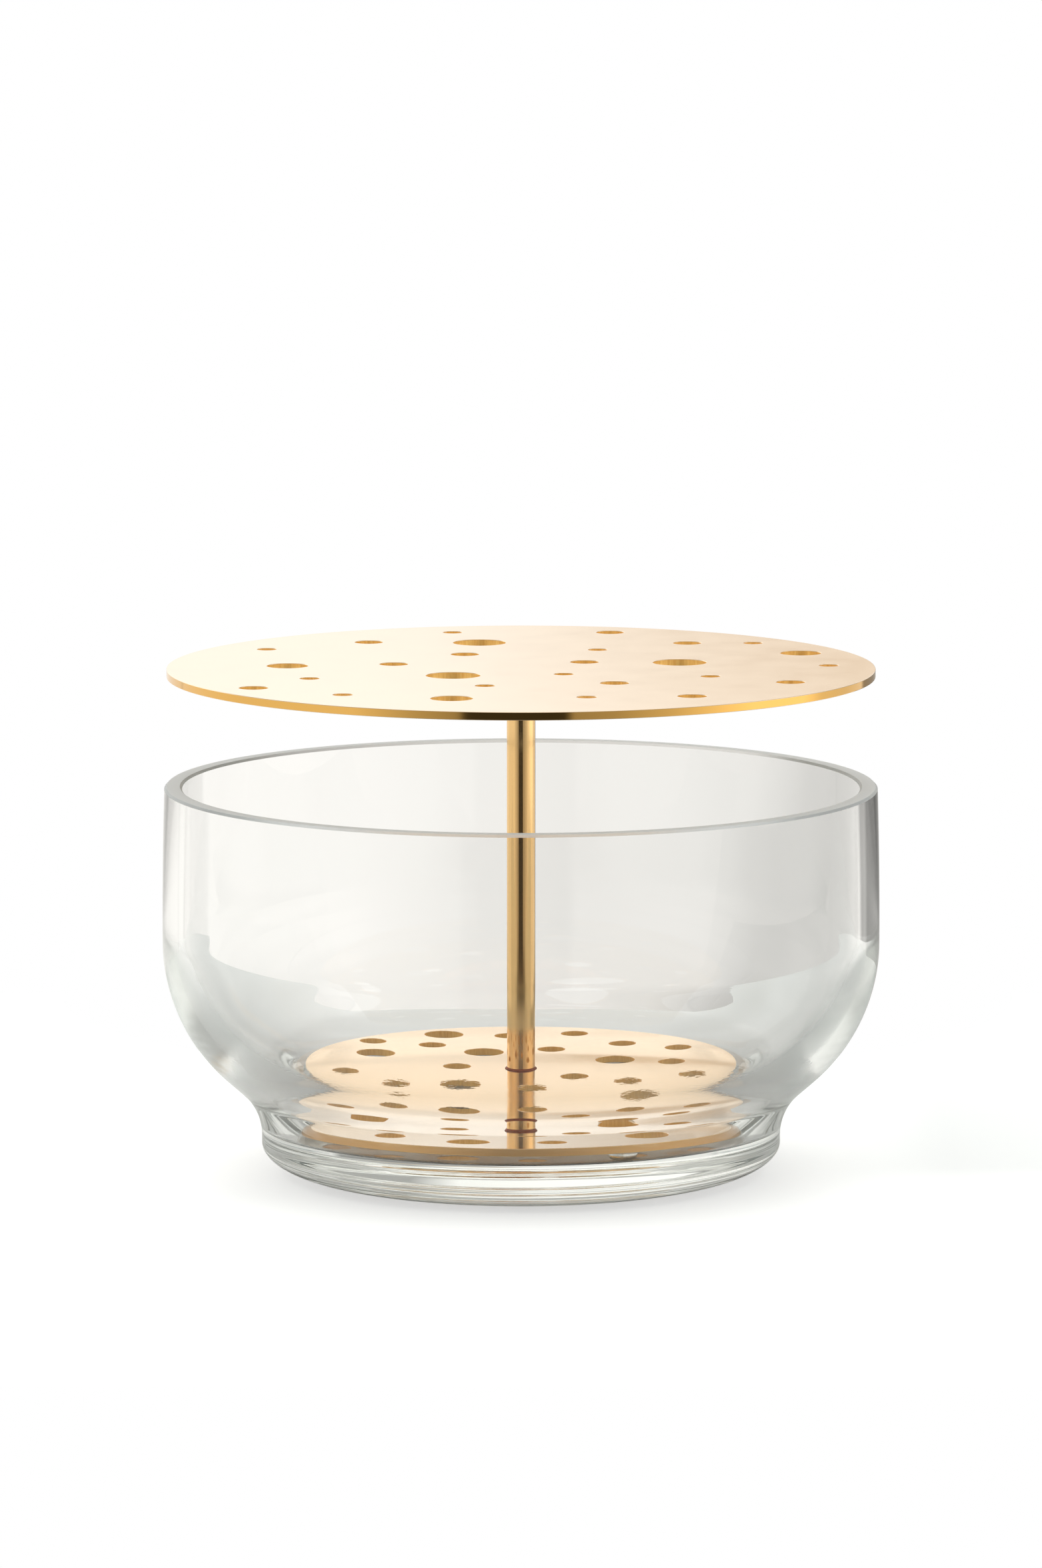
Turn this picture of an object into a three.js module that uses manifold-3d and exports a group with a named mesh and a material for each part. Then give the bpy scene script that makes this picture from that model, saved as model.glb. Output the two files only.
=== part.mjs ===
// Ikebana vase: a clear glass bowl on a foot, and a brass flower holder that lifts out of it.
// The holder is two drilled discs on one stem: the upper disc stands above the mouth and spreads
// the flowers, the lower disc sits in the foot well and holds the ends of their stems.
// Millimetres, +Z up. The origin is the centre of the vessel's underside, and the front is -Y.
import * as THREE from 'three';
import { mergeVertices } from 'three/addons/utils/BufferGeometryUtils.js';
import Module from 'manifold-3d';

const wasm = await Module();
wasm.setup();

// Glass vessel, outside, from the foot up
const FOOT_RADIUS = 72.5;
const FOOT_CORNER_WIDTH = 19;
const FOOT_CORNER_HEIGHT = 8.2;
const FOOT_HEIGHT = 9.7;
const FOOT_FILLET = 18.4;
const FLANK_LENGTH = 6.1;
const SHOULDER_RADIUS = 49.9;
const BODY_RADIUS = 100;
const MOUTH_DRAW_IN = 0.7;
const VESSEL_HEIGHT = 108.5;

// Glass vessel, inside
const FLOOR_THICKNESS = 13.6;
const FOOT_WALL = 9.3;
const WELL_SINK = 3.4;
const WELL_CORNER = 1;
const INNER_FILLET = 20.9;
const INNER_FLANK_LENGTH = 17;
const INNER_SHOULDER_RADIUS = 44.1;
const BODY_WALL = 5.7;
const RIM_BEVEL = 0.65;

// Flower holder
const HOLDER_HEIGHT = 124.65;
const TOP_PLATE_RADIUS = 98.5;
const TOP_PLATE_THICKNESS = 2.25;
const BOTTOM_PLATE_THICKNESS = 2.9;
const BOTTOM_PLATE_CLEARANCE = 0.8;
const STEM_RADIUS = 4;
const SPIGOT_RADIUS = 3;
const POCKET_ROOF = 1;
const FIT_CLEARANCE = 0.3;
const BRAZE_WIDTH = 1.2;
const BRAZE_HEIGHT = 1;
const BRAZE_WAIST = 0.35;

// Clear bumpers under the lower disc
const BUMPER_COUNT = 3;
const BUMPER_RADIUS = 4;
const BUMPER_TIP_RADIUS = 1.5;
const BUMPER_HEIGHT = 3.25;
const BUMPER_BAND = 1;
const BUMPER_INSET = 5;
const FIRST_BUMPER_ANGLE = THREE.MathUtils.degToRad(-63);

// Drills, by diameter
const DRILL_SMALL = 5.5;
const DRILL_MEDIUM = 8;
const DRILL_LARGE = 11.5;
const DRILL_WIDE = 15;

// Drilling plans: hole centres in hundredths of the disc's radius, x to the right and y to the back
const TOP_PLATE_PLAN = [
  {
    drill: DRILL_SMALL,
    centres: [
      [-73, 42], [-20, 83], [67, 57], [22, 41], [87, 4], [12, -16],
      [53, -21], [-59, -26], [-10, -42], [-49, -62], [18, -67],
    ],
  },
  {
    drill: DRILL_MEDIUM,
    centres: [
      [-44, 59], [26, 83], [48, 57], [-16, 30], [18, 12],
      [-36, 7], [26, -36], [75, -34], [-74, -47], [47, -65],
    ],
  },
  { drill: DRILL_LARGE, centres: [[-66, 3], [80, 33], [-19, -70]] },
  { drill: DRILL_WIDE, centres: [[-12, 58], [45, 11], [-19, -19]] },
];
const BOTTOM_PLATE_PLAN = [
  {
    drill: DRILL_MEDIUM,
    centres: [
      [-6, 77], [25, 82], [-69, 59], [-41, 53], [47, 56], [14, 44],
      [73, 43], [-29, 4], [69, 11], [-80, -12], [24, -18], [78, -18],
      [48, -29], [-56, -35], [5, -42], [-55, -60], [13, -75],
    ],
  },
  {
    drill: DRILL_LARGE,
    centres: [[-36, 79], [-67, 31], [-17, 37], [43, 18], [-27, -35], [-22, -74], [53, -58]],
  },
];

// Facets
const ARC_DIVISIONS = 3;
const VESSEL_SEGMENTS = 72;
const PLATE_SEGMENTS = 96;
const HOLE_SEGMENTS = 20;
const STEM_SEGMENTS = 32;
const BUMPER_SEGMENTS = 24;
const SHORTEST_STEP = 0.001;

// Where the pieces meet
const WELL_RADIUS = FOOT_RADIUS - FOOT_WALL;
const INNER_FILLET_HEIGHT = FLOOR_THICKNESS - WELL_SINK;
const HOLDER_BASE = FLOOR_THICKNESS + BUMPER_HEIGHT;
const BOTTOM_PLATE_RADIUS = wellRadius(HOLDER_BASE) - BOTTOM_PLATE_CLEARANCE;
const STEM_FOOT = BOTTOM_PLATE_THICKNESS;
const STEM_HEAD = HOLDER_HEIGHT - TOP_PLATE_THICKNESS;
const POCKET_DEPTH = TOP_PLATE_THICKNESS - POCKET_ROOF;

const clearGlass = new THREE.MeshStandardMaterial({
  color: '#e9edea', roughness: 0.03, metalness: 0, transparent: true, opacity: 0.35,
});
const polishedBrass = new THREE.MeshStandardMaterial({ color: '#e2b777', roughness: 0.16, metalness: 1 });
const brazingAlloy = new THREE.MeshStandardMaterial({ color: '#8f5326', roughness: 0.45, metalness: 1 });
const clearRubber = new THREE.MeshStandardMaterial({
  color: '#e4e9e4', roughness: 0.25, metalness: 0, transparent: true, opacity: 0.5,
});

// A body of revolution about Z. The profile is a path of radius and height that runs
// anticlockwise round the section, from axis to axis or closed on itself.
function revolve(profile, segments) {
  const points = [];
  for (const point of profile.getPoints(ARC_DIVISIONS)) {
    const last = points.at(-1);
    if (!last || last.distanceTo(point) > SHORTEST_STEP) {
      points.push(point);
    }
  }
  return new THREE.LatheGeometry(points, segments).rotateX(Math.PI / 2);
}

// The S-shaped wall between two upright walls: an arc that hollows out of the lower one, a straight
// flank, and a shoulder arc into the upper one. Gives the flank's slope from upright and the rise.
function wallTurn(lowerRadius, upperRadius, fillet, flank, shoulder) {
  const arcs = fillet + shoulder;
  const slope = Math.acos((arcs - upperRadius + lowerRadius) / Math.hypot(arcs, flank))
    - Math.atan2(flank, arcs);
  return { slope, rise: arcs * Math.sin(slope) + flank * Math.cos(slope) };
}

// The well's radius at a height. Its fillet is centred below the floor, so the wall leaves it leaning out.
function wellRadius(height) {
  const rise = height - INNER_FILLET_HEIGHT;
  return WELL_RADIUS + INNER_FILLET - Math.sqrt(INNER_FILLET ** 2 - rise ** 2);
}

function vesselProfile() {
  const outside = wallTurn(FOOT_RADIUS, BODY_RADIUS, FOOT_FILLET, FLANK_LENGTH, SHOULDER_RADIUS);
  const bodyRadius = BODY_RADIUS - BODY_WALL;
  const inside = wallTurn(
    WELL_RADIUS, bodyRadius, INNER_FILLET, INNER_FLANK_LENGTH, INNER_SHOULDER_RADIUS,
  );
  const outerShoulder = FOOT_HEIGHT + outside.rise;
  const innerShoulder = INNER_FILLET_HEIGHT + inside.rise;
  const barrelHeight = VESSEL_HEIGHT - RIM_BEVEL - outerShoulder;
  const barrelRadius = (barrelHeight ** 2 + MOUTH_DRAW_IN ** 2) / (2 * MOUTH_DRAW_IN);
  const cornerReach = INNER_FILLET + WELL_CORNER;
  const cornerLean = Math.asin((WELL_SINK + WELL_CORNER) / cornerReach);

  const profile = new THREE.Path();
  profile.moveTo(0, 0);
  profile.lineTo(FOOT_RADIUS - FOOT_CORNER_WIDTH, 0);
  profile.absellipse(
    FOOT_RADIUS - FOOT_CORNER_WIDTH, FOOT_CORNER_HEIGHT,
    FOOT_CORNER_WIDTH, FOOT_CORNER_HEIGHT, -Math.PI / 2, 0, false,
  );
  profile.absarc(
    FOOT_RADIUS + FOOT_FILLET, FOOT_HEIGHT, FOOT_FILLET, Math.PI, Math.PI - outside.slope, true,
  );
  profile.absarc(BODY_RADIUS - SHOULDER_RADIUS, outerShoulder, SHOULDER_RADIUS, -outside.slope, 0, false);
  profile.absarc(
    BODY_RADIUS - barrelRadius, outerShoulder, barrelRadius, 0, Math.asin(barrelHeight / barrelRadius), false,
  );
  profile.lineTo(BODY_RADIUS - MOUTH_DRAW_IN - RIM_BEVEL, VESSEL_HEIGHT);
  profile.lineTo(bodyRadius + RIM_BEVEL, VESSEL_HEIGHT);
  profile.lineTo(bodyRadius, VESSEL_HEIGHT - RIM_BEVEL);
  profile.absarc(
    bodyRadius - INNER_SHOULDER_RADIUS, innerShoulder, INNER_SHOULDER_RADIUS, 0, -inside.slope, true,
  );
  profile.absarc(
    WELL_RADIUS + INNER_FILLET, INNER_FILLET_HEIGHT, INNER_FILLET,
    Math.PI - inside.slope, Math.PI - cornerLean, false,
  );
  profile.absarc(
    WELL_RADIUS + INNER_FILLET - cornerReach * Math.cos(cornerLean), FLOOR_THICKNESS + WELL_CORNER,
    WELL_CORNER, -cornerLean, -Math.PI / 2, true,
  );
  profile.lineTo(0, FLOOR_THICKNESS);
  return profile;
}

function circle(x, y, radius, segments) {
  const points = [];
  for (let i = 0; i < segments; i += 1) {
    const angle = (i / segments) * 2 * Math.PI;
    points.push(new THREE.Vector2(x + radius * Math.cos(angle), y + radius * Math.sin(angle)));
  }
  return points;
}

// A flat disc drilled to a plan, its underside at z = 0.
function drilledDisc(radius, thickness, plan, centreHole) {
  const outline = new THREE.Shape(circle(0, 0, radius, PLATE_SEGMENTS));
  for (const { drill, centres } of plan) {
    for (const [x, y] of centres) {
      const hole = circle((x / 100) * radius, (y / 100) * radius, drill / 2, HOLE_SEGMENTS);
      outline.holes.push(new THREE.Path(hole));
    }
  }
  if (centreHole > 0) {
    outline.holes.push(new THREE.Path(circle(0, 0, centreHole, STEM_SEGMENTS)));
  }
  return new THREE.ExtrudeGeometry(outline, { depth: thickness, bevelEnabled: false });
}

// A closed mesh as a solid that can be cut: shared vertices merged, collapsed triangles left out.
function toSolid(geometry) {
  const bare = geometry.clone();
  bare.deleteAttribute('normal');
  bare.deleteAttribute('uv');
  const merged = mergeVertices(bare);
  const corners = merged.index.array;
  const triangles = [];
  for (let i = 0; i < corners.length; i += 3) {
    const [a, b, c] = [corners[i], corners[i + 1], corners[i + 2]];
    if (a !== b && b !== c && c !== a) {
      triangles.push(a, b, c);
    }
  }
  return new wasm.Manifold(new wasm.Mesh({
    numProp: 3,
    vertProperties: new Float32Array(merged.attributes.position.array),
    triVerts: new Uint32Array(triangles),
  }));
}

function toGeometry(solid) {
  const { vertProperties, triVerts } = solid.getMesh();
  const geometry = new THREE.BufferGeometry();
  geometry.setAttribute('position', new THREE.BufferAttribute(new Float32Array(vertProperties), 3));
  geometry.setIndex(new THREE.BufferAttribute(new Uint32Array(triVerts), 1));
  geometry.computeVertexNormals();
  return geometry;
}

function piece(name, geometry, material, height = 0) {
  const mesh = new THREE.Mesh(geometry, material);
  mesh.name = name;
  mesh.position.z = height;
  return mesh;
}

// The upper disc: its top face is plain, and a blind pocket underneath takes the stem's spigot.
function topPlate() {
  const disc = toSolid(drilledDisc(TOP_PLATE_RADIUS, TOP_PLATE_THICKNESS, TOP_PLATE_PLAN, 0));
  const cutterHeight = 2 * POCKET_DEPTH;
  const cutter = new THREE.CylinderGeometry(
    SPIGOT_RADIUS + FIT_CLEARANCE, SPIGOT_RADIUS + FIT_CLEARANCE, cutterHeight, STEM_SEGMENTS,
  ).rotateX(Math.PI / 2);
  return toGeometry(disc.subtract(toSolid(cutter)));
}

// The lower disc: a plain through hole in its middle takes the stem's other spigot.
function bottomPlate() {
  return drilledDisc(
    BOTTOM_PLATE_RADIUS, BOTTOM_PLATE_THICKNESS, BOTTOM_PLATE_PLAN, SPIGOT_RADIUS + FIT_CLEARANCE,
  );
}

// The stem: a round bar turned down at both ends, so that its shoulders bear on the two discs.
function stem() {
  const spigotTop = STEM_HEAD + POCKET_DEPTH - FIT_CLEARANCE;
  const profile = new THREE.Path();
  profile.moveTo(0, 0);
  profile.lineTo(SPIGOT_RADIUS, 0);
  profile.lineTo(SPIGOT_RADIUS, STEM_FOOT);
  profile.lineTo(STEM_RADIUS, STEM_FOOT);
  profile.lineTo(STEM_RADIUS, STEM_HEAD);
  profile.lineTo(SPIGOT_RADIUS, STEM_HEAD);
  profile.lineTo(SPIGOT_RADIUS, spigotTop);
  profile.lineTo(0, spigotTop);
  return revolve(profile, STEM_SEGMENTS);
}

// The ring of brazing alloy that runs round the stem where it meets a disc, hollow in section.
function brazeRing() {
  const inner = STEM_RADIUS + FIT_CLEARANCE;
  const profile = new THREE.Path();
  profile.moveTo(inner, 0);
  profile.lineTo(inner + BRAZE_WIDTH, 0);
  profile.lineTo(inner + BRAZE_WAIST * BRAZE_WIDTH, BRAZE_WAIST * BRAZE_HEIGHT);
  profile.lineTo(inner, BRAZE_HEIGHT);
  profile.lineTo(inner, 0);
  return revolve(profile, STEM_SEGMENTS);
}

// A clear domed bumper, stuck on by its flat back and standing on its blunt tip.
function bumper() {
  const dome = BUMPER_HEIGHT - BUMPER_BAND;
  const profile = new THREE.Path();
  profile.moveTo(0, 0);
  profile.lineTo(BUMPER_TIP_RADIUS, 0);
  profile.absellipse(
    BUMPER_TIP_RADIUS, dome, BUMPER_RADIUS - BUMPER_TIP_RADIUS, dome, -Math.PI / 2, 0, false,
  );
  profile.lineTo(BUMPER_RADIUS, BUMPER_HEIGHT);
  profile.lineTo(0, BUMPER_HEIGHT);
  return revolve(profile, BUMPER_SEGMENTS);
}

// The holder's own zero is the underside of its lower disc.
function flowerHolder() {
  const holder = new THREE.Group();
  holder.position.z = HOLDER_BASE;
  holder.add(piece('bottom_plate', bottomPlate(), polishedBrass));
  holder.add(piece('stem', stem(), polishedBrass));
  holder.add(piece('lower_braze_ring', brazeRing(), brazingAlloy, STEM_FOOT));
  holder.add(piece('upper_braze_ring', brazeRing().rotateX(Math.PI), brazingAlloy, STEM_HEAD));
  holder.add(piece('top_plate', topPlate(), polishedBrass, STEM_HEAD));
  for (let i = 0; i < BUMPER_COUNT; i += 1) {
    const foot = piece(`bumper_${i + 1}`, bumper(), clearRubber, -BUMPER_HEIGHT);
    const angle = FIRST_BUMPER_ANGLE + (i / BUMPER_COUNT) * 2 * Math.PI;
    const reach = BOTTOM_PLATE_RADIUS - BUMPER_INSET;
    foot.position.x = reach * Math.cos(angle);
    foot.position.y = reach * Math.sin(angle);
    holder.add(foot);
  }
  return holder;
}

const vase = new THREE.Group();
vase.add(piece('glass_vessel', revolve(vesselProfile(), VESSEL_SEGMENTS), clearGlass));
vase.add(flowerHolder());

export default vase;
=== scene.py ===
# Ikebana vase: a clear glass bowl on a foot with a loose brass flower holder standing in it.
# The script follows the vase as it is put together: the bowl, the holder from its lower disc up,
# the bumpers that it stands on, and then the studio and the camera.
import math

import bmesh
import bpy
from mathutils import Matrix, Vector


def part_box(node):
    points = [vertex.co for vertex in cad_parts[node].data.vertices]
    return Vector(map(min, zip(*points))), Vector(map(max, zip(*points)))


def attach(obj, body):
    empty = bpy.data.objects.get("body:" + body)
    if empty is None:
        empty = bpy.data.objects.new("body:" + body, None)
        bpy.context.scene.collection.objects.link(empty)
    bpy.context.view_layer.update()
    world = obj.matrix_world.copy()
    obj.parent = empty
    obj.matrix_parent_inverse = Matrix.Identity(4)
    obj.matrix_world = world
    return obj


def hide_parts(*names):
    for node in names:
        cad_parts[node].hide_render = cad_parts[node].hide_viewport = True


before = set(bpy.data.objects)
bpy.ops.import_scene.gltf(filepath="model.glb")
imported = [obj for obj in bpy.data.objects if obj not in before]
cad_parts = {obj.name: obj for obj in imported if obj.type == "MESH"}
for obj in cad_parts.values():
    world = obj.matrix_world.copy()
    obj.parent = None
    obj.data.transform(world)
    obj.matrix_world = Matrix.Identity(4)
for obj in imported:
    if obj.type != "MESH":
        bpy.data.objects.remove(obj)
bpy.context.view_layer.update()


# Glass bowl
# One piece of clear soda-lime glass, blown into a mould with its foot and thick floor.
# The rim is ground flat with its edges bevelled, and the bowl stands on its own foot.
MM = 0.001
vessel_low, vessel_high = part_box("glass_vessel")
BODY_RADIUS = vessel_high.x
VESSEL_HEIGHT = vessel_high.z
FOOT_RADIUS = 72.5 * MM
FOOT_CORNER_WIDTH = 19 * MM
FOOT_CORNER_HEIGHT = 8.2 * MM
FOOT_HEIGHT = 9.7 * MM
FOOT_FILLET = 18.4 * MM
FLANK_LENGTH = 6.1 * MM
SHOULDER_RADIUS = 49.9 * MM
MOUTH_DRAW_IN = 0.7 * MM
FLOOR_THICKNESS = 13.6 * MM
WELL_RADIUS = 63.2 * MM
WELL_SINK = 3.4 * MM
WELL_CORNER = 1 * MM
INNER_FILLET = 20.9 * MM
INNER_FLANK_LENGTH = 17 * MM
INNER_SHOULDER_RADIUS = 44.1 * MM
BODY_WALL = 5.7 * MM
RIM_BEVEL = 0.65 * MM
GLASS_TURN_STEPS = 256
ARC_STEP = math.radians(2)
CORNER_STEP = math.radians(9)
SHARP_ANGLE = math.radians(25)


def begin_profile(name, radius, height):
    """A new piece with one point in the XZ plane, where the section of a turned shape begins."""
    bpy.ops.object.select_all(action="DESELECT")
    bpy.ops.mesh.primitive_plane_add(size=MM, location=(0, 0, 0))
    piece = bpy.context.object
    piece.name = name
    piece.data.name = name
    bpy.ops.object.mode_set(mode="EDIT")
    bpy.ops.mesh.select_all(action="SELECT")
    bpy.ops.mesh.merge(type="CENTER")
    bpy.ops.transform.translate(value=(radius, 0, height))
    return piece


def pick(test):
    """Selects the vertices of the open mesh whose place passes the test, and the edges between them."""
    mesh = bpy.context.edit_object.data
    shape = bmesh.from_edit_mesh(mesh)
    bpy.ops.mesh.select_all(action="DESELECT")
    for vertex in shape.verts:
        vertex.select_set(test(vertex.co))
    shape.select_flush(True)
    bmesh.update_edit_mesh(mesh)


def line(radial, rise, steps=1):
    """Carries the section on in a straight line."""
    for _ in range(steps):
        move = {"value": (radial / steps, 0, rise / steps)}
        bpy.ops.mesh.extrude_region_move(TRANSFORM_OT_translate=move)


def arc(radius, height, angle, step=ARC_STEP):
    """Carries the section on round a centre, anticlockwise for a positive angle."""
    steps = max(2, round(abs(angle) / step))
    bpy.ops.mesh.spin(steps=steps, angle=angle, center=(radius, 0, height), axis=(0, 1, 0))


def turn(steps, sharp_angle=SHARP_ANGLE):
    """Turns the section once round the Z axis, closes the seam and the poles and faces it outwards."""
    bpy.ops.mesh.select_all(action="SELECT")
    bpy.ops.mesh.spin(steps=steps, angle=2 * math.pi, center=(0, 0, 0), axis=(0, 0, 1))
    bpy.ops.mesh.select_all(action="SELECT")
    bpy.ops.mesh.remove_doubles(threshold=MM / 1000)
    bpy.ops.mesh.normals_make_consistent(inside=False)
    bpy.ops.object.mode_set(mode="OBJECT")
    bpy.ops.object.shade_smooth_by_angle(angle=sharp_angle)


def wall_turn(lower_radius, upper_radius, fillet, flank, shoulder):
    """The slope of the flank from upright, and the rise, of an S-shaped wall between two upright ones."""
    arcs = fillet + shoulder
    slope = math.acos((arcs - upper_radius + lower_radius) / math.hypot(arcs, flank))
    slope -= math.atan2(flank, arcs)
    return slope, arcs * math.sin(slope) + flank * math.cos(slope)


outer_slope, outer_rise = wall_turn(FOOT_RADIUS, BODY_RADIUS, FOOT_FILLET, FLANK_LENGTH, SHOULDER_RADIUS)
inner_body = BODY_RADIUS - BODY_WALL
inner_slope, inner_rise = wall_turn(
    WELL_RADIUS, inner_body, INNER_FILLET, INNER_FLANK_LENGTH, INNER_SHOULDER_RADIUS
)
outer_shoulder = FOOT_HEIGHT + outer_rise
inner_fillet_height = FLOOR_THICKNESS - WELL_SINK
inner_shoulder = inner_fillet_height + inner_rise
barrel_height = VESSEL_HEIGHT - RIM_BEVEL - outer_shoulder
barrel_radius = (barrel_height ** 2 + MOUTH_DRAW_IN ** 2) / (2 * MOUTH_DRAW_IN)
barrel_turn = math.asin(barrel_height / barrel_radius)
corner_reach = INNER_FILLET + WELL_CORNER
corner_lean = math.asin((WELL_SINK + WELL_CORNER) / corner_reach)
corner_radius = WELL_RADIUS + INNER_FILLET - corner_reach * math.cos(corner_lean)

glass_bowl = begin_profile("glass_bowl", 0, 0)
line(FOOT_RADIUS - FOOT_CORNER_WIDTH, 0, steps=12)
arc(FOOT_RADIUS - FOOT_CORNER_WIDTH, FOOT_CORNER_WIDTH, math.pi / 2)
bpy.ops.mesh.select_all(action="SELECT")
squash = FOOT_CORNER_HEIGHT / FOOT_CORNER_WIDTH
bpy.ops.transform.resize(value=(1, 1, squash), center_override=(0, 0, 0))
pick(lambda place: place.z > FOOT_CORNER_HEIGHT - MM / 100)
line(0, FOOT_HEIGHT - FOOT_CORNER_HEIGHT, steps=3)
arc(FOOT_RADIUS + FOOT_FILLET, FOOT_HEIGHT, -outer_slope)
line(FLANK_LENGTH * math.sin(outer_slope), FLANK_LENGTH * math.cos(outer_slope), steps=3)
arc(BODY_RADIUS - SHOULDER_RADIUS, outer_shoulder, outer_slope)
arc(BODY_RADIUS - barrel_radius, outer_shoulder, barrel_turn, step=barrel_turn / 16)
line(-RIM_BEVEL, RIM_BEVEL, steps=3)
line(2 * RIM_BEVEL + MOUTH_DRAW_IN - BODY_WALL, 0, steps=4)
line(-RIM_BEVEL, -RIM_BEVEL, steps=3)
line(0, inner_shoulder - VESSEL_HEIGHT + RIM_BEVEL, steps=16)
arc(inner_body - INNER_SHOULDER_RADIUS, inner_shoulder, -inner_slope)
line(-INNER_FLANK_LENGTH * math.sin(inner_slope), -INNER_FLANK_LENGTH * math.cos(inner_slope), steps=6)
arc(WELL_RADIUS + INNER_FILLET, inner_fillet_height, inner_slope - corner_lean)
arc(corner_radius, FLOOR_THICKNESS + WELL_CORNER, corner_lean - math.pi / 2, step=CORNER_STEP)
line(-corner_radius, 0, steps=12)
turn(GLASS_TURN_STEPS)


def linear(colour):
    """An sRGB hex colour as the linear RGBA that shader sockets take."""
    channels = [int(colour[i:i + 2], 16) / 255 for i in (1, 3, 5)]
    return [c / 12.92 if c <= 0.04045 else ((c + 0.055) / 1.055) ** 2.4 for c in channels] + [1]


def add_node(tree, kind, sockets=None, **settings):
    """Adds a node with its settings, and sets its sockets or links them to other nodes' outputs."""
    node = tree.nodes.new(kind)
    for name, value in settings.items():
        setattr(node, name, value)
    for socket, value in (sockets or {}).items():
        if isinstance(value, bpy.types.NodeSocket):
            tree.links.new(value, node.inputs[socket])
        else:
            node.inputs[socket].default_value = value
    return node


def new_material(name):
    """An empty node material and its tree."""
    material = bpy.data.materials.new(name)
    material.use_nodes = True
    material.node_tree.nodes.clear()
    return material, material.node_tree


# Clear soda-lime glass, fire-polished: slow waves in the wall, finer rings on the foot where the mould
# chilled it, a band of fine chill marks above it, and a slight green-grey where the way through is long.
# The rim is left satin from grinding.
WAVE_LENGTH = 45 * MM
WAVE_HEIGHT = 0.015 * MM
RING_PITCH = 4 * MM
RING_LENGTH = 40 * MM
RING_HEIGHT = 0.018 * MM
RINGS_END = 24 * MM
RINGS_FULL = 12 * MM
CHILL_PITCH = 0.5 * MM
CHILL_LENGTH = 2 * MM
CHILL_HEIGHT = 0.006 * MM
CHILL_LEVEL = 38 * MM
CHILL_REACH = 5 * MM
CHILL_CORE = 2.5 * MM
GRIND_FADE = MM / 100
TINT_DENSITY = 6.0
RIM_ROUGHNESS = 0.35
RIM_SATIN = 0.7
BEVEL_SATIN = 0.35
rim_edge = VESSEL_HEIGHT - RIM_BEVEL
soda_lime_glass, tree = new_material("clear_soda_lime_glass")
place = add_node(tree, "ShaderNodeTexCoord")
height = add_node(tree, "ShaderNodeSeparateXYZ", {0: place.outputs["Object"]})
waves = add_node(tree, "ShaderNodeTexNoise", {
    "Vector": place.outputs["Object"], "Scale": 1 / WAVE_LENGTH, "Detail": 1.0,
})
slow = add_node(tree, "ShaderNodeBump", {"Height": waves.outputs[0], "Distance": WAVE_HEIGHT})
flat_place = add_node(tree, "ShaderNodeMapping", {
    "Vector": place.outputs["Object"], "Scale": (1 / RING_LENGTH, 1 / RING_LENGTH, 1 / RING_PITCH),
})
rings = add_node(tree, "ShaderNodeTexNoise", {"Vector": flat_place.outputs[0], "Scale": 1.0, "Detail": 0.0})
on_foot = add_node(tree, "ShaderNodeMapRange", {
    "Value": height.outputs["Z"], "From Min": RINGS_END, "From Max": RINGS_FULL,
}, interpolation_type="SMOOTHSTEP")
rippled = add_node(tree, "ShaderNodeBump", {
    "Height": rings.outputs[0], "Distance": RING_HEIGHT, "Strength": on_foot.outputs[0],
    "Normal": slow.outputs[0],
})
fine_place = add_node(tree, "ShaderNodeMapping", {
    "Vector": place.outputs["Object"], "Scale": (1 / CHILL_LENGTH, 1 / CHILL_LENGTH, 1 / CHILL_PITCH),
})
chill = add_node(tree, "ShaderNodeTexNoise", {"Vector": fine_place.outputs[0], "Scale": 1.0, "Detail": 2.0})
off_band = add_node(tree, "ShaderNodeMath", {0: height.outputs["Z"], 1: CHILL_LEVEL}, operation="SUBTRACT")
away = add_node(tree, "ShaderNodeMath", {0: off_band.outputs[0]}, operation="ABSOLUTE")
in_band = add_node(tree, "ShaderNodeMapRange", {
    "Value": away.outputs[0], "From Min": CHILL_REACH, "From Max": CHILL_CORE,
}, interpolation_type="SMOOTHSTEP")
chilled = add_node(tree, "ShaderNodeBump", {
    "Height": chill.outputs[0], "Distance": CHILL_HEIGHT, "Strength": in_band.outputs[0],
    "Normal": rippled.outputs[0],
})
ground = add_node(tree, "ShaderNodeMapRange", {
    "Value": height.outputs["Z"], "From Min": rim_edge - GRIND_FADE, "From Max": rim_edge,
    "To Max": RIM_ROUGHNESS,
})
surface = add_node(tree, "ShaderNodeBsdfPrincipled", {
    "Base Color": linear("#FFFFFF"), "Roughness": ground.outputs[0], "IOR": 1.52,
    "Transmission Weight": 1.0, "Normal": chilled.outputs[0],
})
satin = add_node(tree, "ShaderNodeBsdfDiffuse", {"Color": linear("#F0F6FA")})
bevels = add_node(tree, "ShaderNodeMapRange", {
    "Value": height.outputs["Z"], "From Min": rim_edge - GRIND_FADE, "From Max": rim_edge,
    "To Max": BEVEL_SATIN,
})
top_face = add_node(tree, "ShaderNodeMapRange", {
    "Value": height.outputs["Z"], "From Min": VESSEL_HEIGHT - 2 * GRIND_FADE,
    "From Max": VESSEL_HEIGHT - GRIND_FADE, "To Min": bevels.outputs[0], "To Max": RIM_SATIN,
})
skin = add_node(tree, "ShaderNodeMixShader", {
    0: top_face.outputs[0], 1: surface.outputs["BSDF"], 2: satin.outputs[0],
})
tint = add_node(tree, "ShaderNodeVolumeAbsorption", {"Color": linear("#E1E5E2"), "Density": TINT_DENSITY})
add_node(tree, "ShaderNodeOutputMaterial", {"Surface": skin.outputs[0], "Volume": tint.outputs["Volume"]})
glass_bowl.data.materials.append(soda_lime_glass)
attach(glass_bowl, "vessel")
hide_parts("glass_vessel")


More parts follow.
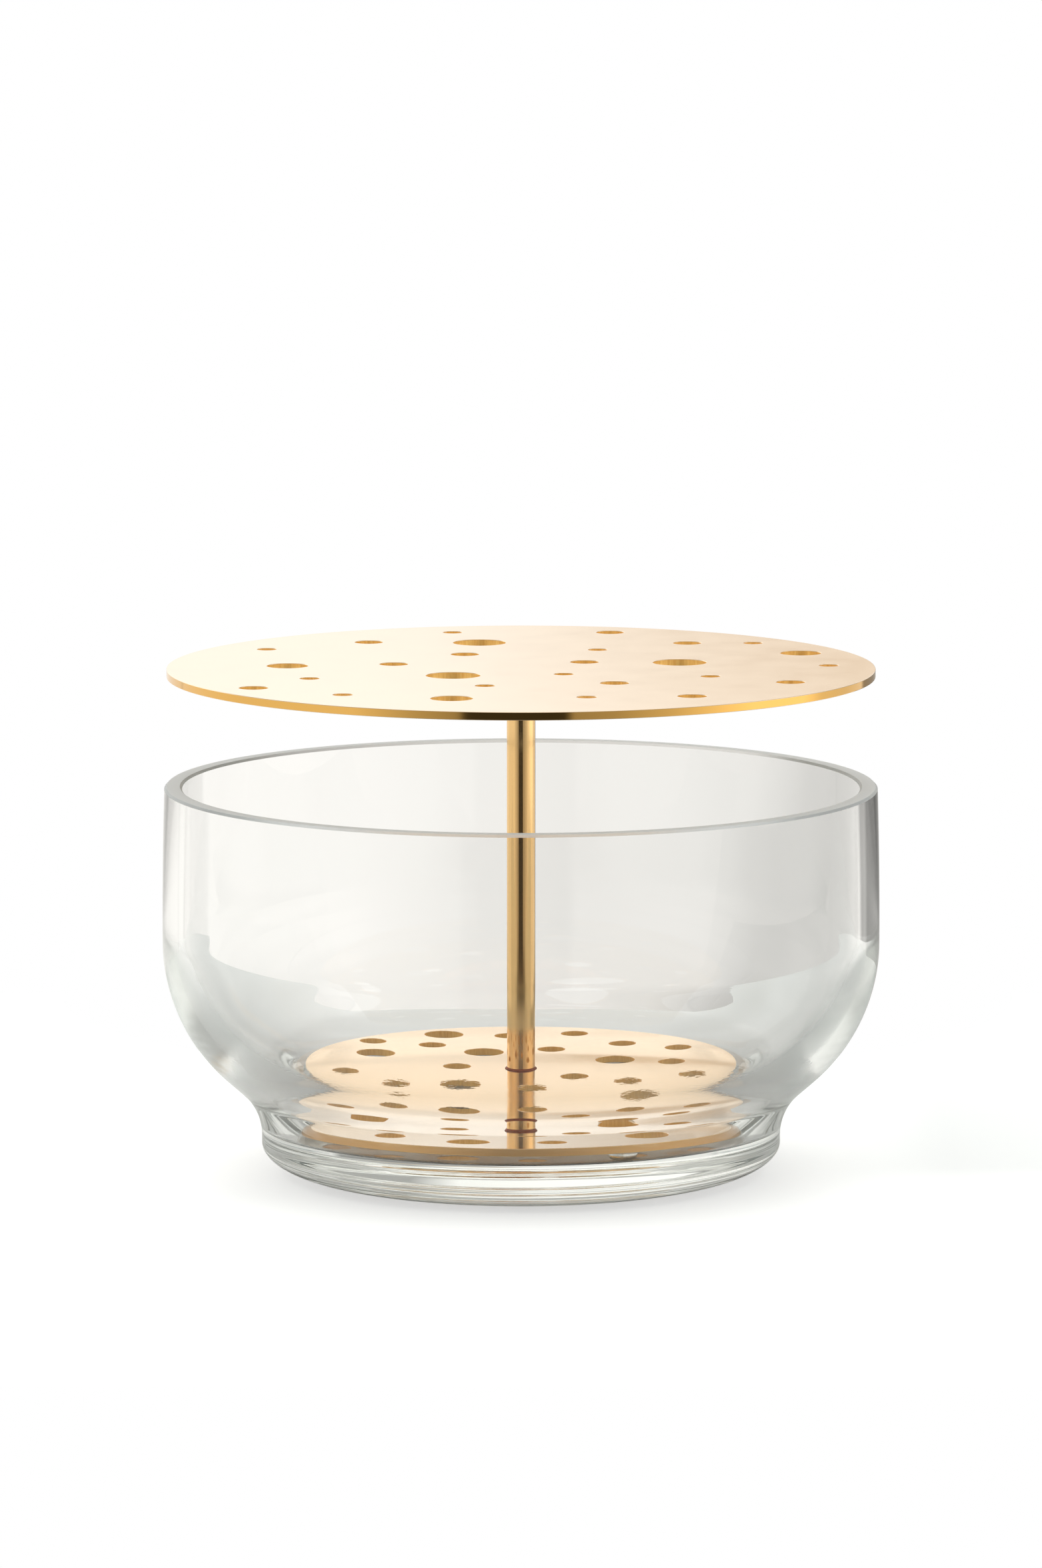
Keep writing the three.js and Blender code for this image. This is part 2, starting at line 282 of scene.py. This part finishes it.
# Lower disc of the flower holder
# A flat disc of brass sheet, drilled with two sizes of hole for the ends of the flower stems.
# It is polished and lacquered, and the stem's spigot goes through a hole in its middle.
lower_low, lower_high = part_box("bottom_plate")
DRILL_MEDIUM = 8 * MM
DRILL_LARGE = 11.5 * MM
SPIGOT_HOLE = 6.6 * MM
DISC_STEPS = 256
HOLE_STEPS = 48
EDGE_BREAK = 0.15 * MM
FLAT_ANGLE = math.radians(14)
CORNER_ANGLE = math.radians(60)
UPRIGHT_LIMIT = 0.1
OUTER_SHARE = 0.99
# Hole centres in hundredths of the disc's radius, x to the right and y to the back.
LOWER_PLAN = {
    DRILL_MEDIUM: [
        (-6, 77), (25, 82), (-69, 59), (-41, 53), (47, 56), (14, 44), (73, 43), (-29, 4), (69, 11),
        (-80, -12), (24, -18), (78, -18), (48, -29), (-56, -35), (5, -42), (-55, -60), (13, -75),
    ],
    DRILL_LARGE: [(-36, 79), (-67, 31), (-17, 37), (43, 18), (-27, -35), (-22, -74), (53, -58)],
    SPIGOT_HOLE: [(0, 0)],
}


def pick_faces(test):
    """Selects the faces of the open mesh that pass the test."""
    mesh = bpy.context.edit_object.data
    shape = bmesh.from_edit_mesh(mesh)
    bpy.ops.mesh.select_all(action="DESELECT")
    for face in shape.faces:
        face.select_set(test(face))
    bmesh.update_edit_mesh(mesh)


def drilled_disc(name, low, high, plan, edge_brass):
    """A flat disc drilled to a plan: rings filled to a sheet, raised to its thickness, edges broken."""
    radius = high.x

    def is_wall(face):
        return abs(face.normal.z) < UPRIGHT_LIMIT

    def is_outer_edge(face):
        return is_wall(face) and face.calc_center_median().xy.length > OUTER_SHARE * radius

    bpy.ops.object.select_all(action="DESELECT")
    bpy.ops.mesh.primitive_circle_add(vertices=DISC_STEPS, radius=radius, location=(0, 0, low.z))
    disc = bpy.context.object
    disc.name = name
    disc.data.name = name
    bpy.ops.object.transform_apply(location=True, rotation=True, scale=True)
    bpy.ops.object.mode_set(mode="EDIT")
    for drill, centres in plan.items():
        for x, y in centres:
            place = (x / 100 * radius, y / 100 * radius, low.z)
            bpy.ops.mesh.primitive_circle_add(vertices=HOLE_STEPS, radius=drill / 2, location=place)
    bpy.ops.mesh.select_all(action="SELECT")
    bpy.ops.mesh.fill()
    bpy.ops.mesh.extrude_region_move(TRANSFORM_OT_translate={"value": (0, 0, high.z - low.z)})
    bpy.ops.mesh.select_all(action="SELECT")
    bpy.ops.mesh.normals_make_consistent(inside=False)
    bpy.ops.mesh.select_all(action="DESELECT")
    bpy.ops.mesh.select_mode(type="EDGE")
    bpy.ops.mesh.edges_select_sharp(sharpness=CORNER_ANGLE)
    bpy.ops.mesh.bevel(offset=EDGE_BREAK, segments=2, affect="EDGES")
    bpy.ops.mesh.select_mode(type="FACE")
    disc.data.materials.append(polished_brass)
    for finish, test in ((drilled_brass, is_wall), (edge_brass, is_outer_edge)):
        disc.data.materials.append(finish)
        disc.active_material_index = len(disc.data.materials) - 1
        pick_faces(test)
        bpy.ops.object.material_slot_assign()
    bpy.ops.mesh.select_mode(type="VERT")
    bpy.ops.object.mode_set(mode="OBJECT")
    bpy.ops.object.shade_smooth_by_angle(angle=FLAT_ANGLE)
    return disc


# Polished brass under clear lacquer: mirror-like, with a faint haze and very shallow lapping rings, wider
# apart than real ones so that they show.
# A wave texture of scale 1 repeats after this length.
WAVE_UNIT = math.pi / 10
LAP_PITCH = 2.83 * MM
LAP_HEIGHT = 0.00025 * MM
HAZE_SIZE = 12 * MM
polished_brass, tree = new_material("polished_lacquered_brass")
place = add_node(tree, "ShaderNodeTexCoord")
haze = add_node(tree, "ShaderNodeTexNoise", {
    "Vector": place.outputs["Object"], "Scale": 1 / HAZE_SIZE, "Detail": 4.0,
})
dull = add_node(tree, "ShaderNodeMapRange", {"Value": haze.outputs[0], "To Min": 0.06, "To Max": 0.16})
laps = add_node(tree, "ShaderNodeTexWave", {
    "Vector": place.outputs["Object"], "Scale": WAVE_UNIT / LAP_PITCH, "Distortion": 2.0, "Detail": 2.0,
    "Detail Scale": 0.2,
}, wave_type="RINGS", rings_direction="Z")
lapped = add_node(tree, "ShaderNodeBump", {"Height": laps.outputs[1], "Distance": LAP_HEIGHT})
surface = add_node(tree, "ShaderNodeBsdfPrincipled", {
    "Base Color": linear("#F1D5B0"), "Metallic": 1.0, "Roughness": dull.outputs[0],
    "Normal": lapped.outputs[0], "Coat Weight": 0.25, "Coat Roughness": 0.04,
})
add_node(tree, "ShaderNodeOutputMaterial", {"Surface": surface.outputs["BSDF"]})

# Bare drilled brass on the walls of the holes: dull brown gold, streaked along the drill's way. The faint
# glow is painted light: it brightens the hole walls, standing in for the light that the drill's score marks
# throw back out of the hole.
STREAK_WIDTH = 0.5 * MM
STREAK_LENGTH = 6 * MM
PAINTED_HOLE_LIGHT = 0.25
drilled_brass, tree = new_material("bare_drilled_brass")
place = add_node(tree, "ShaderNodeTexCoord")
upright = add_node(tree, "ShaderNodeMapping", {
    "Vector": place.outputs["Object"], "Scale": (1 / STREAK_WIDTH, 1 / STREAK_WIDTH, 1 / STREAK_LENGTH),
})
streaks = add_node(tree, "ShaderNodeTexNoise", {"Vector": upright.outputs[0], "Scale": 1.0, "Detail": 3.0})
shade = add_node(tree, "ShaderNodeMix", {
    0: streaks.outputs[0], 6: linear("#C98E3C"), 7: linear("#F6D282"),
}, data_type="RGBA")
surface = add_node(tree, "ShaderNodeBsdfPrincipled", {
    "Base Color": shade.outputs[2], "Metallic": 0.6, "Roughness": 0.3,
    # The emission is painted light: the hole walls glow faintly in their own colour.
    "Emission Color": shade.outputs[2], "Emission Strength": PAINTED_HOLE_LIGHT,
})
add_node(tree, "ShaderNodeOutputMaterial", {"Surface": surface.outputs["BSDF"]})

# The lines are wider apart than real ones so that they show.
TOOL_PITCH = 0.785 * MM
TOOL_HEIGHT = 0.002 * MM


def turned_edge(name, colour, roughness):
    """Brass with the fine lines that a lathe tool leaves round the edge of a disc."""
    material, tree = new_material(name)
    place = add_node(tree, "ShaderNodeTexCoord")
    tool_lines = add_node(tree, "ShaderNodeTexWave", {
        "Vector": place.outputs["Object"], "Scale": WAVE_UNIT / TOOL_PITCH, "Distortion": 1.0, "Detail": 1.0,
    }, bands_direction="Z")
    turned = add_node(tree, "ShaderNodeBump", {"Height": tool_lines.outputs[1], "Distance": TOOL_HEIGHT})
    surface = add_node(tree, "ShaderNodeBsdfPrincipled", {
        "Base Color": linear(colour), "Metallic": 1.0, "Roughness": roughness, "Normal": turned.outputs[0],
    })
    add_node(tree, "ShaderNodeOutputMaterial", {"Surface": surface.outputs["BSDF"]})
    return material


# Turned brass, left satin, on the lower disc's edge: a soft peach gold without sharp reflections.
satin_turned_brass = turned_edge("satin_turned_brass", "#FAC888", 0.4)

lower_disc = drilled_disc("lower_disc", lower_low, lower_high, LOWER_PLAN, satin_turned_brass)
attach(lower_disc, "flower_holder")
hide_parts("bottom_plate")


# Stem
# A round brass bar, turned down at both ends so that its shoulders bear on the two discs.
# It is polished with the discs and brazed to both.
stem_low, stem_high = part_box("stem")
upper_low, upper_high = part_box("top_plate")
STEM_RADIUS = stem_high.x
SPIGOT_RADIUS = 3 * MM
STEM_TURN_STEPS = 96

# Drawn brass bar, polished but not lapped: softer reflections than the discs, with faint lengthwise grain.
GRAIN_WIDTH = 0.15 * MM
GRAIN_LENGTH = 25 * MM
drawn_brass, tree = new_material("polished_drawn_brass")
place = add_node(tree, "ShaderNodeTexCoord")
upright = add_node(tree, "ShaderNodeMapping", {
    "Vector": place.outputs["Object"], "Scale": (1 / GRAIN_WIDTH, 1 / GRAIN_WIDTH, 1 / GRAIN_LENGTH),
})
grain = add_node(tree, "ShaderNodeTexNoise", {"Vector": upright.outputs[0], "Scale": 1.0, "Detail": 2.0})
dull = add_node(tree, "ShaderNodeMapRange", {"Value": grain.outputs[0], "To Min": 0.08, "To Max": 0.16})
surface = add_node(tree, "ShaderNodeBsdfPrincipled", {
    "Base Color": linear("#EEC587"), "Metallic": 1.0, "Roughness": dull.outputs[0],
    "Coat Weight": 0.35, "Coat Roughness": 0.1,
})
add_node(tree, "ShaderNodeOutputMaterial", {"Surface": surface.outputs["BSDF"]})

stem_bar = begin_profile("stem_bar", 0, stem_low.z)
line(SPIGOT_RADIUS, 0)
line(0, lower_high.z - stem_low.z)
line(STEM_RADIUS - SPIGOT_RADIUS, 0)
line(0, upper_low.z - lower_high.z, steps=8)
line(SPIGOT_RADIUS - STEM_RADIUS, 0)
line(0, stem_high.z - upper_low.z)
line(-SPIGOT_RADIUS, 0)
turn(STEM_TURN_STEPS)
stem_bar.data.materials.append(drawn_brass)
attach(stem_bar, "flower_holder")
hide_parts("stem")


# Braze rings
# The ring of brazing alloy that ran round the stem where it meets each disc, and set there.
# It is darker and redder than the brass, partly from tarnish and partly as painted shade of the corner it
# fills, and a little uneven.
BRAZE_WIDTH = 0.9 * MM
BRAZE_HEIGHT = 1 * MM
BRAZE_HOLLOW = 0.35
BRAZE_TURN_STEPS = 20
BRAZE_SHARP_ANGLE = math.radians(40)
BRAZE_UNEVENNESS = 0.15 * MM

# Brazing alloy, as flowed and tarnished: a dull red-brown metal with darker patches of oxide. Its dark
# red-brown is partly painted shade of the corner between the stem and the disc.
TARNISH_SIZE = 0.6 * MM
brazing_alloy, tree = new_material("tarnished_and_shaded_brazing_alloy")
place = add_node(tree, "ShaderNodeTexCoord")
patches = add_node(tree, "ShaderNodeTexNoise", {
    "Vector": place.outputs["Object"], "Scale": 1 / TARNISH_SIZE, "Detail": 3.0,
})
# These dark red-browns are partly tarnish and partly painted shade of the corner.
shade = add_node(tree, "ShaderNodeMix", {
    0: patches.outputs[0], 6: linear("#6E3212"), 7: linear("#A8541F"),
}, data_type="RGBA")
surface = add_node(tree, "ShaderNodeBsdfPrincipled", {
    "Base Color": shade.outputs[2], "Metallic": 1.0, "Roughness": 0.4,
})
add_node(tree, "ShaderNodeOutputMaterial", {"Surface": surface.outputs["BSDF"]})


def braze_ring(name, node, face, rise):
    """A hollow-cheeked ring round the stem, standing on a disc's face and rising by the height given."""
    ring = begin_profile(name, STEM_RADIUS, face)
    line(BRAZE_WIDTH, 0)
    line((BRAZE_HOLLOW - 1) * BRAZE_WIDTH, BRAZE_HOLLOW * rise)
    line(-BRAZE_HOLLOW * BRAZE_WIDTH, (1 - BRAZE_HOLLOW) * rise)
    line(0, -rise)
    turn(BRAZE_TURN_STEPS, BRAZE_SHARP_ANGLE)
    bpy.ops.object.mode_set(mode="EDIT")
    bpy.ops.mesh.select_all(action="SELECT")
    bpy.ops.transform.vertex_random(offset=BRAZE_UNEVENNESS, seed=len(name))
    bpy.ops.object.mode_set(mode="OBJECT")
    flow = ring.modifiers.new("flow", "SUBSURF")
    flow.levels = 2
    bpy.ops.object.modifier_apply(modifier=flow.name)
    bpy.ops.object.shade_smooth()
    ring.data.materials.append(brazing_alloy)
    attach(ring, "flower_holder")
    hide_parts(node)


braze_ring("lower_braze", "lower_braze_ring", lower_high.z, BRAZE_HEIGHT)
braze_ring("upper_braze", "upper_braze_ring", upper_low.z, -BRAZE_HEIGHT)


# Upper disc of the flower holder
# A larger disc of the same brass sheet, drilled with four sizes of hole that spread the flowers.
# Its top face is plain: the stem ends in a blind pocket underneath.
DRILL_SMALL = 5.5 * MM
DRILL_WIDE = 15 * MM
UPPER_PLAN = {
    DRILL_SMALL: [
        (-73, 42), (-20, 83), (67, 57), (22, 41), (87, 4), (12, -16),
        (53, -21), (-59, -26), (-10, -42), (-49, -62), (18, -67),
    ],
    DRILL_MEDIUM: [
        (-44, 59), (26, 83), (48, 57), (-16, 30), (18, 12),
        (-36, 7), (26, -36), (75, -34), (-74, -47), (47, -65),
    ],
    DRILL_LARGE: [(-66, 3), (80, 33), (-19, -70)],
    DRILL_WIDE: [(-12, 58), (45, 11), (-19, -19)],
}

# Turned and polished brass on the upper disc's edge: a deeper gold than the faces, with sharp reflections.
polished_turned_brass = turned_edge("polished_turned_brass", "#E6B462", 0.08)

upper_disc = drilled_disc("upper_disc", upper_low, upper_high, UPPER_PLAN, polished_turned_brass)
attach(upper_disc, "flower_holder")
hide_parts("top_plate")


# Bumpers
# Three clear domes of soft polyurethane, stuck by their flat backs under the lower disc.
# They keep the brass off the glass floor.
BUMPER_TIP_RADIUS = 1.5 * MM
BUMPER_BAND = 1 * MM
BUMPER_TURN_STEPS = 48
BUMPER_SHARP_ANGLE = math.radians(40)

# Clear cast polyurethane: glossy with a faint uneven bloom, and a little blue-white in the thick of the
# dome.
BLOOM_SIZE = 0.8 * MM
clear_polyurethane, tree = new_material("clear_polyurethane")
place = add_node(tree, "ShaderNodeTexCoord")
bloom = add_node(tree, "ShaderNodeTexNoise", {
    "Vector": place.outputs["Object"], "Scale": 1 / BLOOM_SIZE, "Detail": 2.0,
})
dull = add_node(tree, "ShaderNodeMapRange", {"Value": bloom.outputs[0], "To Min": 0.06, "To Max": 0.18})
surface = add_node(tree, "ShaderNodeBsdfPrincipled", {
    "Base Color": linear("#F2F7F6"), "Roughness": dull.outputs[0], "IOR": 1.49, "Transmission Weight": 1.0,
})
add_node(tree, "ShaderNodeOutputMaterial", {"Surface": surface.outputs["BSDF"]})

for node_name in ("bumper_1", "bumper_2", "bumper_3"):
    low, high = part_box(node_name)
    radius = (high.x - low.x) / 2
    dome = high.z - low.z - BUMPER_BAND
    bumper = begin_profile(node_name.replace("_", "_dome_"), 0, low.z)
    line(BUMPER_TIP_RADIUS, 0)
    arc(BUMPER_TIP_RADIUS, low.z + dome, math.pi / 2, step=CORNER_STEP)
    line(radius - BUMPER_TIP_RADIUS - dome, 0)
    line(0, BUMPER_BAND)
    line(-radius, 0)
    turn(BUMPER_TURN_STEPS, BUMPER_SHARP_ANGLE)
    bpy.ops.object.mode_set(mode="EDIT")
    bpy.ops.mesh.select_all(action="SELECT")
    bpy.ops.transform.translate(value=((low.x + high.x) / 2, (low.y + high.y) / 2, 0))
    bpy.ops.object.mode_set(mode="OBJECT")
    bumper.data.materials.append(clear_polyurethane)
    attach(bumper, "flower_holder")
    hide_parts(node_name)


# Table
# A white laminate top that takes the shadow and shows white to the camera. To the glass and the brass it
# shows painted shade: grey towards the sides, and dark in the middle of the front. A round bite in its back
# edge lets the light behind show through the bowl.
TABLE_WIDTH = 1.3
TABLE_FRONT = 0.28
TABLE_BACK = 0.305
TABLE_DEPTH = 3 * MM
TABLE_GAP = 0.1 * MM
BITE_RADIUS = 0.15
BITE_SHIFT = 5 * MM
BITE_STEPS = 128
# In metres from the middle: where the painted shade of the front darkens and how wide,
# and where the painted shade to the sides sets in.
DARK_BEGIN = -0.08
DARK_FULL = -0.26
DARK_WIDTH = 0.1
DARK_FADE = 0.2
SIDE_SHADE_BEGIN = -0.04
SIDE_SHADE_FULL = 0.0
# How much of the white is added for the camera, which rises to all of it where the front is painted dark.
WHITENING = 0.55
# How far to the right, and the painted shade there.
PAINTED_TABLE_SHADE = [
    (-0.2, "#F4F6F6"), (-0.15, "#D6DBDB"), (-0.115, "#D6DBDB"), (-0.075, "#EFF2F2"), (0.04, "#ECEFEF"),
    (0.075, "#E0E4E4"), (0.1, "#C8CDCD"), (0.12, "#B4B9B9"), (0.17, "#B4B9B9"), (0.22, "#F4F6F6"),
]
table_middle = (TABLE_BACK - TABLE_FRONT) / 2
table_height = -TABLE_GAP - TABLE_DEPTH / 2
bpy.ops.object.select_all(action="DESELECT")
bpy.ops.mesh.primitive_cylinder_add(
    vertices=BITE_STEPS, radius=BITE_RADIUS, depth=3 * TABLE_DEPTH,
    location=(BITE_SHIFT, TABLE_BACK, table_height),
)
bite = bpy.context.object
bpy.ops.object.select_all(action="DESELECT")
bpy.ops.mesh.primitive_cube_add(size=1, location=(0, table_middle, table_height))
table = bpy.context.object
table.name = "table"
bpy.ops.transform.resize(value=(TABLE_WIDTH, TABLE_FRONT + TABLE_BACK, TABLE_DEPTH))
bpy.ops.object.transform_apply(location=True, rotation=True, scale=True)
cut = table.modifiers.new("bite", "BOOLEAN")
cut.operation = "DIFFERENCE"
cut.object = bite
bpy.ops.object.modifier_apply(modifier=cut.name)
bpy.data.objects.remove(bite)


def fill_ramp(ramp, stops):
    """Gives a colour ramp its stops, each a place from 0 to 1 and a linear colour."""
    elements = ramp.color_ramp.elements
    elements.remove(elements[1])
    elements[0].position, elements[0].color = stops[0]
    for position, colour in stops[1:]:
        elements.new(position).color = colour


white_laminate, tree = new_material("white_laminate")
light_path = add_node(tree, "ShaderNodeLightPath")
place = add_node(tree, "ShaderNodeTexCoord")
across = add_node(tree, "ShaderNodeSeparateXYZ", {0: place.outputs["Object"]})
sideways = add_node(tree, "ShaderNodeMapRange", {
    "Value": across.outputs["X"], "From Min": -TABLE_WIDTH / 2, "From Max": TABLE_WIDTH / 2,
})
aside = add_node(tree, "ShaderNodeMath", {0: across.outputs["X"]}, operation="ABSOLUTE")
middle = add_node(tree, "ShaderNodeMapRange", {
    "Value": aside.outputs[0], "From Min": DARK_FADE, "From Max": DARK_WIDTH,
}, interpolation_type="SMOOTHSTEP")
to_front = add_node(tree, "ShaderNodeMapRange", {
    "Value": across.outputs["Y"], "From Min": DARK_BEGIN, "From Max": DARK_FULL, "To Max": middle.outputs[0],
})
# Painted shade: the table is greyer to the sides, and white again further out.
painted_shade = add_node(tree, "ShaderNodeValToRGB", {0: sideways.outputs[0]})
fill_ramp(painted_shade, [(offset / TABLE_WIDTH + 0.5, linear(colour)) for offset, colour in PAINTED_TABLE_SHADE])
to_back = add_node(tree, "ShaderNodeMapRange", {
    "Value": across.outputs["Y"], "From Min": SIDE_SHADE_BEGIN, "From Max": SIDE_SHADE_FULL,
})
# Painted shade: greyer in front near the foot, and dark further out in the middle of the front.
painted_shade = add_node(tree, "ShaderNodeMix", {
    0: to_back.outputs[0], 6: linear("#DADEDE"), 7: painted_shade.outputs[0],
}, data_type="RGBA")
painted_shade = add_node(tree, "ShaderNodeMix", {
    0: to_front.outputs[0], 6: painted_shade.outputs[2], 7: linear("#4A4D4D"),
}, data_type="RGBA")
matt = add_node(tree, "ShaderNodeBsdfDiffuse", {"Color": painted_shade.outputs[2]})
glow = add_node(tree, "ShaderNodeEmission", {
    "Color": linear("#FFFFFF"), "Strength": light_path.outputs["Is Camera Ray"],
})
share = add_node(tree, "ShaderNodeMapRange", {
    "Value": to_front.outputs[0], "To Min": WHITENING, "To Max": 1.0,
})
whitening = add_node(tree, "ShaderNodeMixShader", {0: share.outputs[0], 2: glow.outputs[0]})
both = add_node(tree, "ShaderNodeAddShader", {0: matt.outputs[0], 1: whitening.outputs[0]})
add_node(tree, "ShaderNodeOutputMaterial", {"Surface": both.outputs[0]})
table.data.materials.append(white_laminate)


# Studio light
# White panels stand all round at different strengths, with a dark gap behind the camera. Higher up the
# light is dim, and a bright soft box hangs overhead. The light behind is warm to the right of the middle.
# The camera itself sees plain white.
# Each panel stop is a bearing in degrees, from straight back and to the right, and the strength there.
PANELS = [
    (-180, 0.05), (-162, 0.05), (-160, 0.4), (-145, 0.6), (-124, 1.0), (-76, 1.0), (-50, 1.06),
    (-37, 1.04), (-36.5, 0.75), (-35.8, 0.75), (-35.3, 1.02), (-10, 1.0), (-3, 0.99), (-1, 0.98),
    (1, 0.92), (3, 0.81), (4.5, 0.6), (8, 0.5), (13, 0.39), (18, 0.33), (33, 0.33), (34.5, 1.0),
    (50, 0.9), (66, 1.0), (76, 1.5), (100, 1.5), (130, 0.8), (150, 0.5), (163.5, 0.42), (165, 0.05),
    (180, 0.05),
]
# High in front: the light where the panels below are dark, and where they have a strength of 1.
FRONT_DARK = 0.12
FRONT_LIGHT = 1.0
# Above the panels one light fades into another along an axis of the direction looked in: X to the right,
# Y to the back and Z up. A row has the new light's name, the axis, where on it the fade starts and ends,
# the lights before and after it, as strengths or as names of lights made earlier, and the curve.
FADES = [
    ("back_low", "X", -0.03, 0.05, 1.09, 0.73, "SMOOTHSTEP"),
    ("back_middle", "X", -0.09, 0.12, 1.35, 1.25, "LINEAR"),
    ("back_high", "X", 0.16, 0.3, "back_middle", 0.5, "LINEAR"),
    ("back_foot", "Z", -0.06, 0.09, "panels", "back_low", "SMOOTHSTEP"),
    ("back", "Z", 0.129, 0.137, "back_foot", "back_high", "SMOOTHSTEP"),
    ("side_high", "X", -0.5, 0.5, 0.8, 1.1, "LINEAR"),
    ("round_high", "Y", -0.1, -0.5, "side_high", "front_high", "LINEAR"),
    ("round", "Z", 0.03, 0.17, "panels", "round_high", "SMOOTHSTEP"),
    ("walls", "Y", 0.2, 0.6, "round", "back", "LINEAR"),
    ("dim_above", "Z", 0.42, 0.55, "walls", 0.45, "SMOOTHSTEP"),
    ("whole", "Z", 0.6, 0.85, "dim_above", 1.6, "SMOOTHSTEP"),
    ("warm_side", "X", -0.01, 0.05, 0.0, 1.0, "LINEAR"),
    ("warm_back", "Y", 0.88, 0.94, 0.0, "warm_side", "LINEAR"),
    ("warm_foot", "Z", 0.03, 0.1, 0.0, "warm_back", "SMOOTHSTEP"),
    ("warm", "Z", 0.129, 0.137, "warm_foot", 0.0, "SMOOTHSTEP"),
]
BOUNCES = 40
scene = bpy.context.scene
studio = bpy.data.worlds.new("studio")
scene.world = studio
studio.use_nodes = True
tree = studio.node_tree
tree.nodes.clear()
way = add_node(tree, "ShaderNodeTexCoord")
axes = add_node(tree, "ShaderNodeSeparateXYZ", {0: way.outputs["Generated"]})
bearing = add_node(
    tree, "ShaderNodeMath", {0: axes.outputs["X"], 1: axes.outputs["Y"]}, operation="ARCTAN2"
)
place = add_node(tree, "ShaderNodeMapRange", {
    "Value": bearing.outputs[0], "From Min": -math.pi, "From Max": math.pi,
})
ring = add_node(tree, "ShaderNodeValToRGB", {0: place.outputs[0]})
fill_ramp(ring, [
    ((degrees + 180) / 360, (strength, strength, strength, 1)) for degrees, strength in PANELS
])
front_high = add_node(tree, "ShaderNodeMapRange", {
    "Value": ring.outputs[0], "To Min": FRONT_DARK, "To Max": FRONT_LIGHT,
}, clamp=False)
lights = {"panels": ring.outputs[0], "front_high": front_high.outputs[0]}
for name, axis, start, end, before, after, curve in FADES:
    fade = add_node(tree, "ShaderNodeMapRange", {
        "Value": axes.outputs[axis], "From Min": start, "From Max": end,
        "To Min": lights.get(before, before), "To Max": lights.get(after, after),
    }, interpolation_type=curve)
    lights[name] = fade.outputs[0]
light_path = add_node(tree, "ShaderNodeLightPath")
shown = add_node(tree, "ShaderNodeMapRange", {
    "Value": light_path.outputs["Is Camera Ray"], "To Min": lights["whole"], "To Max": 1.0,
})
lamp = add_node(tree, "ShaderNodeMix", {
    0: lights["warm"], 6: linear("#FFFDF8"), 7: linear("#FFE6C6"),
}, data_type="RGBA")
tint = add_node(tree, "ShaderNodeMix", {
    0: light_path.outputs["Is Camera Ray"], 6: lamp.outputs[2], 7: linear("#FFFFFF"),
}, data_type="RGBA")
sky = add_node(tree, "ShaderNodeBackground", {"Color": tint.outputs[2], "Strength": shown.outputs[0]})
add_node(tree, "ShaderNodeOutputWorld", {"Surface": sky.outputs[0]})
scene.view_settings.view_transform = "Standard"
# The thick foot passes light on many times before it leaves.
scene.cycles.max_bounces = BOUNCES
scene.cycles.transmission_bounces = BOUNCES
scene.cycles.glossy_bounces = BOUNCES


# Camera
# It looks down a little from in front, at the photograph's angle, with a long lens.
CAMERA_DISTANCE = 2.3
CAMERA_HEIGHT = 0.425
CAMERA_PITCH = math.radians(7.831)
CAMERA_LENS = 191.35
bpy.ops.object.camera_add(
    location=(0, -CAMERA_DISTANCE, CAMERA_HEIGHT), rotation=(math.pi / 2 - CAMERA_PITCH, 0, 0)
)
camera = bpy.context.object
camera.data.lens = CAMERA_LENS
scene.camera = camera
